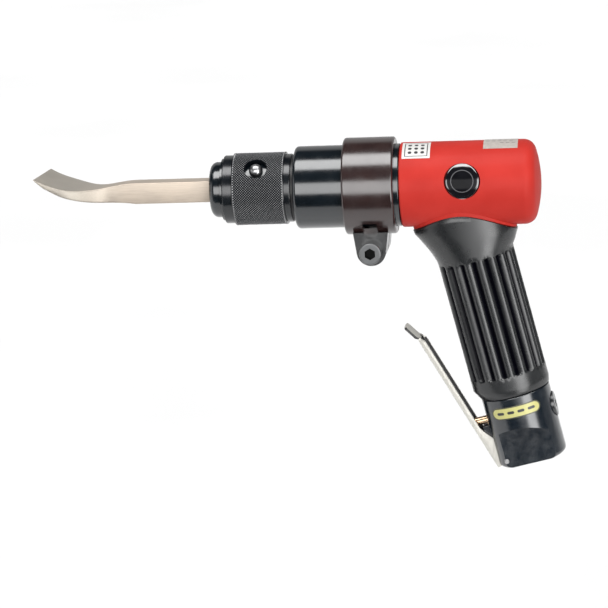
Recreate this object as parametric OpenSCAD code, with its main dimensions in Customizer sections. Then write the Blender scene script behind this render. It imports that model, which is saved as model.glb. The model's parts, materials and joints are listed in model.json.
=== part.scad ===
// Pneumatic air hammer with a pistol grip, a clamped exhaust collar and a quick-change chisel sleeve.
// Millimetres, +Z up. The origin is the mouth of the air inlet, under the handle.
// The chisel points along -X and the operator's palm is on the +X side of the handle.

/* [Handle] */
// Lean of the handle away from square to the barrel
rake = 13; // [10:0.5:16]
// Distance along the handle from the barrel axis to the inlet mouth
handle_len = 172; // [170:0.5:176]
// Half depth of the rubber grip at its front
grip_front = 22.6; // [22:0.1:23]
// Half depth of the rubber grip at its back
grip_rear = 23.2; // [22.5:0.1:24]
// Half width of the rubber grip
grip_side = 21.4; // [20.8:0.1:22]
// Radius of the cast stem inside the grip
stem_r = 15; // [14:0.5:16]

/* [Housing and barrel] */
// Outer radius of the housing
housing_r = 24.9; // [24.5:0.1:26]
// Front face of the housing, ahead of the handle axis
housing_front = 31.5; // [31:0.1:32]
// Length of the housing
housing_len = 81.7; // [81:0.1:84]
// Outer radius of the barrel
barrel_r = 24.3; // [23.8:0.1:24.4]
// Front face of the barrel, ahead of the handle axis
barrel_front = 94; // [93.5:0.1:94]
// Radius of the piston bore
bore_r = 14.3; // [14.2:0.05:14.4]
// Outer radius of the exhaust collar
collar_r = 28.5; // [28.2:0.1:29]

/* [Retainer and chisel] */
// Outer radius of the knurled band of the sleeve
sleeve_r = 21.4; // [21.2:0.1:21.8]
// Angle of the sleeve's port above the horizontal
port_angle = 45; // [40:1:50]
// Width across the flats of the square chisel shank
shank_w = 12.7; // [12.6:0.05:12.75]
// Length of the chisel
chisel_len = 180.5; // [176:0.5:186]
// Width of the cutting edge
blade_w = 37; // [30:1:40]

/* [Lever and throttle] */
// Angle between the open lever and the handle axis
lever_open = 16.5; // [15:0.5:18]
// Width of the lever channel
lever_w = 12.6; // [12.4:0.1:13.4]
// Thickness of the lever's sheet
sheet = 1.5; // [1.2:0.1:1.6]
// Radius of the inlet's threaded wall
inlet_r = 5.9; // [5.7:0.05:6]

/* [Hidden] */
$fn = 96;
loft_sides = 64;

red = "firebrick";
black = "#202226";
steel = "silver";
rubber = "dimgray";
brass = "#c9a35a";
nitrile = "#101114";

// Fits
slip = 0.1;
running = 0.05;

// Distances along the barrel are measured forward from the handle axis.
housing_rear = housing_front - housing_len;
housing_corner = 7.5;
housing_dome = 2.2;
chamber_r = 20.5;
spigot_r = chamber_r - slip;
chamber_rear = -22;
barrel_rear = 6;
collar_rear = 34.8;
collar_front = 64.9;
collar_mid = (collar_rear + collar_front) / 2;
bushing_rear = 70;
bushing_flange = 80;
retainer_rear = 84;
neck_r = 15;
port_u = 116;
sleeve_rear = 95.8;
sleeve_front = 136.2;
knurl_rear = 99.4;
knurl_front = 130.4;
band_r = 20.1;
retainer_r = 17.8;
groove_front = 137.6;
nose_front = 144.6;
nose_r = 16.4;
guide_w = shank_w + 0.2;

// Lock pin, measured outward from the barrel axis
pin_r = 4.5;
pin_head_r = 4.1;
pin_tip = 9.4;
pin_top = 22.4;
pin_shoulder = 17.2;
pin_travel = 3;
lock_turn = 30;
port_r = 6.75;

// Clamp lug under the exhaust collar
lug_drop = 36.2;
lug_r = 8.7;
lug_half = 17;
screw_r = 4;
head_r = 6.5;
head_len = 8;
slit_w = 2.5;

// Badge let into the left side of the housing
badge_u = -5.4;
badge_r = 10.3;
badge_angle = 13;
badge_floor = 22.4;
badge_t = 2.4;
badge_dome = 55;

// Labels
film = 0.15;
film_gap = 0.02;

// Distances down the handle are measured from the barrel axis.
grip_end = 129;
flute_top = 44.5;
body_top = grip_end + 0.3;
body_r = 20.65;
body_shift = -1.45;
flat_top = 150;
flat_half = 14.3;
stub_r = 13;
stub_end = 136;
riser_x = 3.2;
riser_r = 2.6;
passage_r = 6;
throttle_z = 143;
insert_r = 8.2;
insert_top = 157;

// Lever pivot, forward of the handle axis and down the handle
pivot_x = 13;
pivot_z = 167.5;
pivot_r = 1.5;
pivot_boss = 2.9;
pin_clear = 0.04;
lever_face = 8.3;
lever_depth = 3.6;
lever_foot = 2.4;
lever_top = 88;
lip_len = 14.5;
lip_bend = 16;
slot_half = lever_w / 2 + 0.5;
slot_floor = 9.8;
ear_floor = 12;
ear_top = 150.5;
tongue_half = 4;
tongue_top = 146.5;
tongue_foot = 156.5;

// Throttle bore, measured forward from the handle axis
plunger_r = 2.5;
plunger_tip = 27.05;
plunger_crown = 4;
guide_r = 4.5;
guide_rear = 12;
seat_r = 6.5;
stop_rear = 16;
cap_r = 7.5;
cap_recess = 20.9;
cap_face = 22.9;

// Chisel
tail_u = 66.2;
edge_u = tail_u + chisel_len;
forge_u = edge_u - 56.5;
dip_u = edge_u - 31.5;
flare_u = edge_u - 42.5;
bevel_u = edge_u - 5;
edge_t = 0.4;
bevel_t = 2.6;
edge_skew = 1.65;
shank_round = 1.1;
notch_floor = 6.2;
notch_len = 17.4;
notch_rear = 4.7;

// Where the handle axis crosses the barrel axis
hub = [-handle_len * sin(rake), 0, handle_len * cos(rake)];

function clamp01(t) = min(1, max(0, t));
function smooth(t) = let (c = clamp01(t)) c * c * (3 - 2 * c);
function arc(cx, cy, r, from, to, steps = 8) =
    [for (i = [0:steps]) let (a = from + (to - from) * i / steps) [cx + r * cos(a), cy + r * sin(a)]];
function flatten(rows) = [for (row = rows) for (item = row) item];

// Forward along the barrel is +z here, and up is +x.
module on_barrel() translate(hub) rotate([0, -90, 0]) children();

// Down the handle is +z here, and forward is +x.
module on_handle() translate(hub) rotate([0, 180 - rake, 0]) children();

// Forward across the handle is +z here, at the height of the throttle bore.
module on_throttle() on_handle() translate([0, 0, throttle_z]) rotate([0, 90, 0]) children();

// Outward from the barrel axis through the sleeve's port is +z here.
module on_port() {
    on_barrel()
        translate([0, 0, port_u])
            rotate([0, 0, port_angle - 90])
                rotate([0, 90, 0])
                    children();
}

// Outward from the barrel axis through the badge is +z here.
module on_badge() {
    on_barrel()
        translate([0, 0, badge_u])
            rotate([0, 0, badge_angle - 90])
                rotate([0, 90, 0])
                    children();
}

module ring(outer, inner, from, to) {
    rotate_extrude()
        translate([inner, from])
            square([outer - inner, to - from]);
}

// Solid of revolution with rounded rims: radius r, from end to end, rim radii at each end.
module turned(r, from, to, rim_from, rim_to) {
    rotate_extrude()
        polygon(concat(
            [[0, from]],
            arc(r - rim_from, from + rim_from, rim_from, -90, 0),
            arc(r - rim_to, to - rim_to, rim_to, 0, 90),
            [[0, to]]
        ));
}

// A closed skin through rings of points, each ring anticlockwise and of the same length.
module skin(rings) {
    n = len(rings[0]);
    last = len(rings) - 1;
    sides = [
        for (i = [0:last - 1]) for (j = [0:n - 1])
            [i * n + j, (i + 1) * n + j, (i + 1) * n + (j + 1) % n, i * n + (j + 1) % n]
    ];
    start_cap = [[for (j = [0:n - 1]) j]];
    end_cap = [[for (j = [0:n - 1]) last * n + n - 1 - j]];
    polyhedron(points = flatten(rings), faces = concat(start_cap, sides, end_cap), convexity = 6);
}

// Half depths of the grip: it flares to a beak at the front and a heel at the back, under the housing.
function front_flare(z) = 9 * pow(clamp01((43 - z) / 20.6), 1.3);
function rear_flare(z) = 6.2 * pow(clamp01((43 - z) / 10.4), 0.8);
function front_depth(z) = min(31.5, grip_front + front_flare(z)) - 3.2 * clamp01((z - 123.6) / 5.4);
function rear_depth(z) = grip_rear + rear_flare(z) - 0.8 * clamp01((z - 125) / 4);
function side_depth(z) = grip_side - 0.6 * clamp01((z - 125) / 4);

function grip_ring(z, inset) = [
    for (i = [0:loft_sides - 1])
        let (a = 360 * i / loft_sides)
        let (depth = cos(a) > 0 ? front_depth(z) : rear_depth(z))
        [(depth - inset) * cos(a), (side_depth(z) - inset) * sin(a), z]
];

module grip_loft(inset, to) {
    heights = concat([for (z = [4:3:43]) z], [flute_top, 80, 110, 123.6, 125, grip_end]);
    skin([for (z = heights) if (z <= to) grip_ring(z, inset)]);
}

// The cast housing's outside: a cylinder with a shallow domed end.
module housing_shell() {
    cap_r = (pow(housing_r - housing_corner, 2) + pow(housing_dome, 2)) / (2 * housing_dome);
    cap_a = asin((housing_r - housing_corner) / (cap_r - housing_corner));
    corner_y = housing_rear + cap_r - (cap_r - housing_corner) * cos(cap_a);
    rotate_extrude()
        polygon(concat(
            [for (i = [0:7]) let (a = cap_a * i / 8) [cap_r * sin(a), housing_rear + cap_r * (1 - cos(a))]],
            arc(housing_r - housing_corner, corner_y, housing_corner, cap_a - 90, 0),
            arc(housing_r - 0.9, housing_front - 0.9, 0.9, 0, 90),
            [[0, housing_front]]
        ));
}

module housing() {
    color(red)
    difference() {
        union() {
            on_barrel() housing_shell();
            on_handle() cylinder(r = stem_r, h = grip_end);
            on_handle() cylinder(r = stub_r, h = stub_end);
            intersection() {
                on_handle() grip_loft(0.6, 43);
                on_barrel() translate([0, 0, housing_rear + 8]) cylinder(r = 26.3, h = housing_len - 10);
            }
        }
        on_barrel() translate([0, 0, chamber_rear]) cylinder(r = chamber_r, h = housing_len);
        on_barrel() translate([0, 0, chamber_rear - 21]) cylinder(r = 15, h = 22);
        on_handle() translate([0, 0, 14]) cylinder(r = passage_r, h = stub_end);
        badge_pocket();
    }
}

module badge_pocket() {
    on_badge() translate([0, 0, badge_floor - slip]) cylinder(r = badge_r + 0.3, h = 6);
}

module badge() {
    color(black)
    intersection() {
        on_badge() translate([0, 0, badge_floor]) cylinder(r = badge_r, h = badge_t + 1);
        on_barrel() translate([0, 0, badge_u - 15]) cylinder(r = housing_r, h = 30);
        on_badge() translate([0, 0, badge_floor + badge_t - badge_dome]) sphere(r = badge_dome);
    }
}

// A label curved onto the housing: from and to along the barrel, angles above the horizontal.
module housing_label(from, to, low, high) {
    on_barrel()
        rotate([0, 0, low - 90])
            rotate_extrude(angle = high - low)
                translate([housing_r + film_gap, from])
                    square([film, to - from]);
}

module front_label() color("white") housing_label(13.3, 29.7, 47.5, 85.5);

module rear_label() color("lightgray") housing_label(-37.5, -17.5, 62, 101);

module grip_sleeve() {
    color(rubber)
    difference() {
        on_handle() grip_loft(0, grip_end);
        on_barrel() translate([0, 0, -70]) cylinder(r = 26.6, h = 140);
        on_handle() cylinder(r = stem_r + slip, h = grip_end + 1);
    }
}

// Side outline of the flats milled on the valve body, with an arched top.
module flat_outline() {
    intersection() {
        translate([-25, flat_top - 2]) square([50, 30]);
        translate([2, flat_top + 28]) circle(r = 30);
    }
}

// Side outline of the tongue that guides the plunger between the lever's flanges.
module tongue_outline() {
    polygon([[15, tongue_top], [22.6, tongue_top], [21.2, tongue_foot], [15, tongue_foot]]);
}

module valve_body() {
    color(black)
    difference() {
        on_handle() union() {
            translate([body_shift, 0, 0]) mirror([0, 0, 1]) turned(body_r, -handle_len, -body_top, 2.5, 0.5);
            translate([0, tongue_half, 0])
                rotate([90, 0, 0])
                    linear_extrude(2 * tongue_half)
                        tongue_outline();
        }
        on_handle() for (side = [-1, 1])
            translate([0, side * (flat_half + 5), 0])
                rotate([90, 0, 0])
                    linear_extrude(10, center = true)
                        flat_outline();
        on_handle() lever_slot();
        on_handle() translate([0, 0, body_top - 1]) cylinder(r = stub_r + slip, h = stub_end - body_top + 1.3);
        on_handle() translate([riser_x, 0, stub_end]) cylinder(r = riser_r, h = throttle_z - stub_end);
        on_handle() translate([-7.5, 0, throttle_z]) cylinder(r = 3.6, h = 16);
        on_handle() translate([0, 0, insert_top - 2]) cylinder(r = insert_r + running, h = 20);
        on_handle()
            translate([pivot_x, 20, pivot_z])
                rotate([90, 0, 0])
                    cylinder(r = pivot_r, h = 40);
        on_throttle() translate([0, 0, -stop_rear]) cylinder(r = seat_r, h = stop_rear + 0.1);
        on_throttle() cylinder(r = 5, h = 7);
        on_throttle() cylinder(r = plunger_r + 0.2, h = 30);
        on_throttle() translate([0, 0, guide_rear]) cylinder(r = guide_r + running, h = 12);
        on_throttle() translate([0, 0, -cap_recess - 0.1]) cylinder(r = 7 + running, h = 5.1);
        on_throttle() translate([0, 0, -cap_recess - 5]) cylinder(r = cap_r + 0.3, h = 5.3);
    }
}

// Room in the valve body for the two flanges of the lever.
module lever_slot() {
    translate([slot_floor, -slot_half, tongue_foot]) cube([20, 2 * slot_half, 30]);
    for (side = [-1, 1])
        translate([0, side > 0 ? tongue_half : -slot_half, 0]) {
            translate([15, 0, tongue_top]) cube([20, slot_half - tongue_half, 12]);
            translate([ear_floor, 0, ear_top]) cube([20, slot_half - tongue_half, 10]);
        }
}

module oil_label() {
    color("gold")
    on_handle()
    intersection() {
        translate([body_shift, 0, 0]) ring(body_r + film_gap + film, body_r + film_gap, 130, 148);
        translate([-0.8, 0, 137.6])
            rotate([90, 0, 0])
                linear_extrude(30)
                    stadium(29, 7.2);
    }
}

module stadium(long, wide) {
    square([long - wide, wide], center = true);
    for (side = [-1, 1])
        translate([side * (long - wide) / 2, 0])
            circle(d = wide);
}

module barrel() {
    color(black)
    on_barrel()
    difference() {
        union() {
            turned(spigot_r, barrel_rear, housing_front + 1, 0.8, 0.1);
            turned(barrel_r, housing_front + 0.4, barrel_front, 0.5, 2.4);
        }
        translate([0, 0, barrel_rear - 1]) cylinder(r = bore_r, h = bushing_rear - barrel_rear + 1);
        translate([0, 0, bushing_rear - 1]) cylinder(r = 12.5, h = 20);
        translate([0, 0, bushing_flange]) cylinder(r = neck_r, h = 20);
        ring(spigot_r + 2, 18.7, 27.8, 30);
        for (turn = [45:90:315])
            rotate([0, 0, turn]) translate([10, 0, 50]) rotate([0, 90, 0]) cylinder(r = 2.2, h = 20);
    }
}

module barrel_seal() {
    color(black)
    on_barrel()
        translate([0, 0, 28.9])
            rotate_extrude()
                translate([19.55, 0])
                    circle(r = 0.85, $fn = 24);
}

// Side outline of the clamp lug, as seen along the screw.
module lug_outline() {
    translate([-lug_drop, collar_mid]) circle(r = lug_r);
    polygon([
        [-lug_drop, collar_mid - lug_r], [-25, collar_mid - lug_r - 1.6],
        [-25, collar_mid + lug_r + 1.6], [-lug_drop, collar_mid + lug_r]
    ]);
}

module exhaust_collar() {
    color(black)
    on_barrel()
    difference() {
        union() {
            turned(collar_r, collar_rear, collar_front, 1.5, 1.5);
            rotate([90, 0, 0]) linear_extrude(2 * lug_half, center = true) lug_outline();
        }
        translate([0, 0, collar_rear - 1]) cylinder(r = barrel_r + running, h = 40);
        translate([0, 0, 44]) cylinder(r = 26.3, h = 12);
        translate([-60, -slit_w / 2, collar_rear - 1]) cube([40, slit_w, 40]);
        translate([-lug_drop, 0, collar_mid])
            rotate([90, 0, 0])
                cylinder(r = screw_r + running, h = 60, center = true);
        for (side = [-1, 1])
            translate([-24, side * 23, collar_mid])
                rotate([90, 0, 0])
                    linear_extrude(22, center = true)
                        rotate(90)
                            stadium_slot(8.4, 10);
    }
}

// A slot outline with one rounded end.
module stadium_slot(wide, long) {
    translate([-wide / 2, -long / 2]) square([wide, long - wide / 2]);
    translate([0, long / 2 - wide / 2]) circle(d = wide);
}

module collar_screw() {
    color(black)
    on_barrel()
    translate([-lug_drop, 0, collar_mid])
    rotate([90, 0, 0])
    difference() {
        union() {
            translate([0, 0, -16]) cylinder(r = screw_r, h = lug_half + 17);
            translate([0, 0, lug_half]) turned(head_r, 0, head_len, 0.1, 0.8);
        }
        translate([0, 0, lug_half + head_len - 4]) cylinder(d = 6 / cos(30), h = 5, $fn = 6);
    }
}

module retainer_body() {
    color(black)
    difference() {
        on_barrel() union() {
            turned(neck_r - running, retainer_rear, barrel_front + 0.4, 0.5, 0.1);
            turned(retainer_r, barrel_front + 0.2, sleeve_front + 0.1, 0.2, 0.3);
            turned(15.2, sleeve_front, groove_front + 0.3, 0.1, 0.1);
            turned(nose_r, groove_front + 0.1, nose_front, 0.4, 4);
        }
        on_barrel() translate([0, 0, retainer_rear - 1]) cylinder(r = 9.3, h = 54);
        on_barrel() translate([-guide_w / 2, -guide_w / 2, 130]) cube([guide_w, guide_w, 20]);
        on_port() translate([0, 0, 2]) cylinder(r = pin_r + running, h = pin_shoulder + 0.05 - 2);
        on_port() translate([0, 0, 2]) cylinder(r = pin_head_r + running, h = 30);
    }
}

module sleeve_washer() {
    color(nitrile)
    on_barrel()
        ring(19.4, retainer_r + slip, barrel_front + 0.2, sleeve_rear - 0.2);
}

module snap_ring() {
    color(nitrile)
    on_barrel()
    difference() {
        ring(18.3, 15.3, sleeve_front + 0.2, groove_front);
        translate([-20, -1.5, sleeve_front - 1]) cube([10, 3, 5]);
    }
}

module guide_bushing() {
    color(steel)
    on_barrel()
    difference() {
        union() {
            turned(12.45, bushing_rear + 0.1, bushing_flange + 1, 0.4, 0.1);
            turned(neck_r - slip, bushing_flange + 0.1, retainer_rear - 0.1, 0.1, 0.1);
        }
        translate([-guide_w / 2, -guide_w / 2, bushing_rear - 1]) cube([guide_w, guide_w, 30]);
    }
}

module valve_chest() {
    color(steel)
    on_barrel()
    difference() {
        turned(spigot_r, -8, barrel_rear - 0.1, 0.3, 0.3);
        ring(spigot_r + 2, 16.5, -6.5, 1);
        translate([0, 0, -9]) cylinder(r = 12.3, h = 4.6);
        translate([0, 0, -9]) cylinder(r = 4, h = 20);
        for (turn = [0:60:300])
            rotate([0, 0, turn + 30]) translate([8.5, 0, -9]) cylinder(r = 1.8, h = 20);
    }
}

module valve_cap() {
    color(steel)
    on_barrel()
    difference() {
        turned(spigot_r, -14, -8.1, 0.3, 0.3);
        for (turn = [0:60:300])
            rotate([0, 0, turn]) translate([8, 0, -15]) cylinder(r = 1.8, h = 10);
    }
}

module valve_disc() color(steel) on_barrel() ring(12, 2.5, -7.8, -6.2);

module rear_cushion() color(rubber) on_barrel() ring(spigot_r, 13, chamber_rear + 0.1, -14.1);

module handle_seal() {
    color(nitrile)
    on_handle()
        rotate_extrude()
            translate([14.1, grip_end + 0.15])
                square([0.9, 0.3], center = true);
}

module seat_bushing() color(brass) on_throttle() ring(seat_r - running, 3.6, -3.9, -0.1);

module plunger_bushing() color(brass) on_throttle() ring(guide_r, plunger_r + running, guide_rear + 0.1, 19);

module throttle_cap() {
    color(black)
    on_throttle()
    difference() {
        union() {
            mirror([0, 0, 1]) turned(7, stop_rear + 0.1, cap_recess + 0.1, 0.2, 0.1);
            mirror([0, 0, 1]) turned(cap_r, cap_recess, cap_face, 0.1, 0.8);
        }
        translate([0, 0, -cap_face - 1]) cylinder(d = 5 / cos(30), h = 3.8, $fn = 6);
    }
}

module cap_seal() color(nitrile) on_throttle() ring(6.4, 5.2, -stop_rear, 0.7 - stop_rear);

module inlet_bushing() {
    color(steel)
    on_handle()
    difference() {
        mirror([0, 0, 1]) turned(insert_r, -handle_len, -insert_top, 0.4, 0.2);
        translate([0, 0, insert_top - 1]) cylinder(r = inlet_r, h = 20);
    }
}

module inlet_screen() {
    color(brass)
    on_handle()
    difference() {
        translate([0, 0, insert_top - 1.5]) cylinder(r = insert_r - 0.3, h = 1.3);
        for (x = [-4.5:3:4.5])
            for (y = [-4.5:3:4.5])
                translate([x, y, insert_top - 3]) cylinder(r = 1, h = 4, $fn = 16);
    }
}

module lever_pin() {
    color(steel)
    on_handle()
        translate([pivot_x, 0, pivot_z])
            rotate([90, 0, 0])
                cylinder(r = pivot_r - 0.02, h = 2 * flat_half - 0.2, center = true);
}

// Side outline of the lever's flanges: +x is forward of the pivot, +y is up along the open lever.
module flange_outline() {
    rear = lever_face - lever_depth;
    circle(r = pivot_boss);
    polygon([
        [0, -pivot_boss], [lever_face, -lever_foot], [lever_face, lever_top], [lever_face - 1, lever_top + 2],
        [rear, lever_top], [rear, 24], [rear - 1.2, 20], [1.2, 15], [-pivot_boss, 9], [-pivot_boss, 0]
    ]);
}

module lever_web_outline() {
    translate([lever_face - sheet, -lever_foot]) square([sheet, lever_top + lever_foot]);
    translate([lever_face, lever_top])
        rotate(-lip_bend)
            translate([-sheet, -0.6])
                square([sheet, lip_len]);
}

// Pivot of the lever as the origin, lever leaning forward at its open angle.
module on_lever() {
    on_handle()
        translate([pivot_x, 0, pivot_z])
            rotate([-90, 0, 0])
                rotate(-lever_open)
                    children();
}

module lever() {
    color(steel)
    on_lever()
    difference() {
        union() {
            for (side = [-1, 1])
                translate([0, 0, side * (lever_w - sheet) / 2])
                    linear_extrude(sheet, center = true)
                        flange_outline();
            linear_extrude(lever_w, center = true)
                lever_web_outline();
        }
        cylinder(r = pivot_r + pin_clear, h = 30, center = true);
    }
}

module plunger() {
    color(brass)
    on_throttle()
    union() {
        translate([0, 0, -1.9]) cylinder(r = plunger_r, h = plunger_tip + 1.1);
        intersection() {
            cylinder(r = plunger_r, h = 40);
            translate([0, 0, plunger_tip - plunger_crown]) sphere(r = plunger_crown);
        }
    }
}

module throttle_valve() {
    color(steel)
    on_throttle()
    union() {
        translate([0, 0, -8]) cylinder(r = 5.5, h = 2.9);
        translate([0, 0, -5.2]) cylinder(r = 1.8, h = 3.3);
    }
}

module throttle_seal() color(nitrile) on_throttle() ring(5.3, 1.85, -5, -4);

// Rings of a round wire bent along a helix.
function helix_ring(a, coil_r, wire_r, pitch, base) = [
    for (k = [0:7])
        let (b = 45 * k, reach = coil_r + wire_r * cos(b))
        [reach * cos(a), reach * sin(a), base + pitch * a / 360 + wire_r * sin(b)]
];

module throttle_spring() {
    color(steel)
    on_throttle()
        skin([for (a = [0:20:1620]) helix_ring(a, 3.9, 0.4, 1.6, -15.6)]);
}

// Ramped track inside the sleeve that presses the pin's head inward as the sleeve turns.
module head_track() {
    for (turn = [0:2.5:lock_turn])
        rotate([0, 0, -turn])
            rotate([0, 90, 0]) {
                top = pin_top - pin_travel * turn / lock_turn;
                translate([0, 0, 12]) cylinder(r = pin_head_r + 0.2, h = top - pin_head_r - 12);
                translate([0, 0, top - pin_head_r]) sphere(r = pin_head_r + 0.2);
            }
}

module sleeve() {
    color(black)
    difference() {
        on_barrel() union() {
            turned(band_r, sleeve_rear, sleeve_front, 0.6, 0.6);
            turned(sleeve_r, knurl_rear, knurl_front, 0.5, 0.5);
        }
        on_barrel() translate([0, 0, sleeve_rear - 1]) cylinder(r = retainer_r + slip, h = 50);
        on_port() translate([0, 0, 10]) cylinder(r = port_r, h = 15);
        on_barrel() translate([0, 0, port_u]) rotate([0, 0, port_angle - 90]) head_track();
    }
}

module lock_pin() {
    crown = pin_top - pin_head_r;
    color(steel)
    on_port()
    union() {
        translate([0, 0, pin_tip]) cylinder(r1 = pin_r - 1, r2 = pin_r, h = 1);
        translate([0, 0, pin_tip + 1]) cylinder(r = pin_r, h = pin_shoulder - pin_tip - 1);
        translate([0, 0, pin_shoulder - 0.5]) cylinder(r = pin_head_r, h = crown - pin_shoulder + 0.5);
        translate([0, 0, crown]) sphere(r = pin_head_r);
    }
}

// Height of the chisel's top face, its thickness and its width at a distance along the barrel.
function chisel_top(u) = shank_w / 2 - 2.65 * smooth((u - forge_u) / 25) + 0.0086 * pow(max(0, u - dip_u), 2);
function chisel_thick(u) = u > bevel_u
    ? bevel_t + (edge_t - bevel_t) * (u - bevel_u) / (edge_u - bevel_u)
    : shank_w + (bevel_t - shank_w) * clamp01((u - forge_u) / (bevel_u - forge_u));
function chisel_width(u) = shank_w + (blade_w - shank_w) * smooth((u - flare_u) / 29);

// A section with rounded corners; the edge is ground a little out of square.
function chisel_ring(u) =
    let (top = chisel_top(u), thick = chisel_thick(u), half = chisel_width(u) / 2)
    let (round = min(shank_round, thick * 0.3), skew = edge_skew * smooth((u - flare_u) / 35))
    [
        for (corner = [[1, 1], [1, -1], [-1, -1], [-1, 1]])
            for (step = [0:3])
                let (turn = 90 * (corner[0] * corner[1] > 0 ? 3 - step : step) / 3)
                let (y = corner[0] * (half - round + round * cos(turn)))
                let (x = top - thick / 2 + corner[1] * (thick / 2 - round + round * sin(turn)))
                [x, y, u - skew * y / half]
    ];

module chisel() {
    stations = concat([tail_u, forge_u], [for (u = [forge_u + 2:2:bevel_u]) u], [bevel_u + 2.5, edge_u]);
    color("#b8b0a4")
    difference() {
        on_barrel() skin([for (u = stations) chisel_ring(u)]);
        on_port() translate([-notch_rear, -10, notch_floor]) cube([notch_len, 20, 10]);
    }
}

module piston() {
    color(steel)
    on_barrel()
    difference() {
        turned(bore_r - 0.06, barrel_rear + 0.3, barrel_rear + 34.3, 1, 1.5);
        for (u = [12:8:36])
            ring(bore_r + 1, bore_r - 0.6, u, u + 1);
    }
}

housing();
badge();
front_label();
rear_label();
grip_sleeve();
valve_body();
oil_label();
barrel();
exhaust_collar();
collar_screw();
barrel_seal();
retainer_body();
sleeve_washer();
snap_ring();
guide_bushing();
valve_chest();
valve_cap();
rear_cushion();
handle_seal();
seat_bushing();
plunger_bushing();
throttle_cap();
cap_seal();
inlet_bushing();
inlet_screen();
lever_pin();
lever();
plunger();
throttle_valve();
throttle_seal();
throttle_spring();
sleeve();
lock_pin();
chisel();
piston();
valve_disc();
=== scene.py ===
"""Looks of the pneumatic air hammer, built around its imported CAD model.

Lengths are millimetres until they are multiplied by MM, because everything that Blender gets is metres.
Distances u run forward along the barrel from the handle's axis, and drops run down the handle from the
barrel's axis.
"""

import json
import math

import bmesh
import bpy
from mathutils import Matrix, Vector


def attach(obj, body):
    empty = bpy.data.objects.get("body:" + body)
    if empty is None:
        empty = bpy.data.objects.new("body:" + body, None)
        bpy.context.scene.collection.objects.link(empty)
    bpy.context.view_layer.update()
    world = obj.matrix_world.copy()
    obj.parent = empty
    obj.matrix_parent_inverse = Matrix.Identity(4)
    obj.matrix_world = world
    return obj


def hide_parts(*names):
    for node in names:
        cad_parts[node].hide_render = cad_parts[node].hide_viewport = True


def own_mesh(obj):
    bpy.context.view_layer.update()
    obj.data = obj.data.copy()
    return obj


MM = 0.001
MICRON = 0.000001

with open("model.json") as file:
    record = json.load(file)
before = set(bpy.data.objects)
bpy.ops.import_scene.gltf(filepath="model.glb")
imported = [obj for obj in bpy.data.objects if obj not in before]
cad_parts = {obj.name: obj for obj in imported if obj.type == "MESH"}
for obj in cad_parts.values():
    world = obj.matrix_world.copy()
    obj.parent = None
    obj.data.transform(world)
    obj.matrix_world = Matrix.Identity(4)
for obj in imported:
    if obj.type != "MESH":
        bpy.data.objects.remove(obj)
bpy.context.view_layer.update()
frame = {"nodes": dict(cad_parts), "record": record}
nodes = frame["nodes"]

# ---------------------------------------------------------------- places on the tool

# The frame's origin is the mouth of the air inlet, at the foot of the handle. HUB is where the handle's axis
# crosses the barrel's.

RAKE = math.radians(13)
HANDLE_LEN = 172
DOWN = Vector((math.sin(RAKE), 0, -math.cos(RAKE)))
FORE = Vector((-math.cos(RAKE), 0, -math.sin(RAKE)))
SIDE = Vector((0, 1, 0))
HUB = -DOWN * HANDLE_LEN * MM


def barrel_point(u, radius, angle):
    """A point around the barrel: angle 0 is towards the viewer's side, -Y, and a quarter turn is up."""
    return HUB + Vector((-u, -radius * math.cos(angle), radius * math.sin(angle))) * MM


def handle_point(fore, side, drop):
    return HUB + (FORE * fore + SIDE * side + DOWN * drop) * MM


def clamp01(value):
    return min(1.0, max(0.0, value))


def smoothstep(low, high, value):
    t = clamp01((value - low) / (high - low))
    return t * t * (3 - 2 * t)


def lerp(a, b, t):
    return a + (b - a) * t


# ---------------------------------------------------------------- mesh helpers


def new_mesh(name, verts, faces):
    mesh = bpy.data.meshes.new(name)
    mesh.from_pydata([tuple(v) for v in verts], [], faces)
    bm = bmesh.new()
    bm.from_mesh(mesh)
    bmesh.ops.recalc_face_normals(bm, faces=bm.faces)
    bm.to_mesh(mesh)
    bm.free()
    return mesh


def carve(piece, verts, faces):
    """Cuts a closed shape out of a piece."""
    cutter = bpy.data.objects.new("cutter", new_mesh("cutter", verts, faces))
    bpy.context.scene.collection.objects.link(cutter)
    cut = piece.modifiers.new("cut", "BOOLEAN")
    cut.operation = "DIFFERENCE"
    cut.solver = "EXACT"
    cut.object = cutter
    graph = bpy.context.evaluated_depsgraph_get()
    carved = bpy.data.meshes.new_from_object(piece.evaluated_get(graph))
    carved.name = piece.name
    piece.modifiers.clear()
    piece.data = carved
    bpy.data.objects.remove(cutter)


def add_piece(name, verts, faces, body, stands_for, slot, cutters=()):
    """A mesh piece that rides on a body and stands for CAD nodes."""
    piece = bpy.data.objects.new(name, new_mesh(name, verts, faces))
    bpy.context.scene.collection.objects.link(piece)
    for cutter in cutters:
        carve(piece, *cutter)
    piece.data.materials.clear()
    piece.data.materials.append(MATERIALS[slot])
    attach(piece, body)
    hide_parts(*stands_for)
    return piece


def use_second_material(piece, material, chosen):
    """Paints the faces whose centre is chosen with a second material."""
    piece.data.materials.append(material)
    for face in piece.data.polygons:
        if chosen(face):
            face.material_index = 1


def smooth_by_angle(piece, degrees):
    """Smooth shading with edges kept sharp where faces meet at more than the angle."""
    mesh = piece.data
    mesh.polygons.foreach_set("use_smooth", [True] * len(mesh.polygons))
    mesh.set_sharp_from_angle(angle=math.radians(degrees))


def loop_faces(rows, columns, close_rows=False):
    """Quads over rows of closed rings; close_rows also joins the last ring to the first."""
    last = rows if close_rows else rows - 1
    faces = []
    for i in range(last):
        below = i * columns
        above = ((i + 1) % rows) * columns
        for j in range(columns):
            k = (j + 1) % columns
            faces.append((below + j, below + k, above + k, above + j))
    return faces


def end_caps(count, columns):
    """Closes the first and the last ring of a stack of rings with count points in all."""
    return [tuple(range(columns)), tuple(range(count - 1, count - 1 - columns, -1))]


# ---------------------------------------------------------------- sizes shared by paint and shapes

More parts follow.
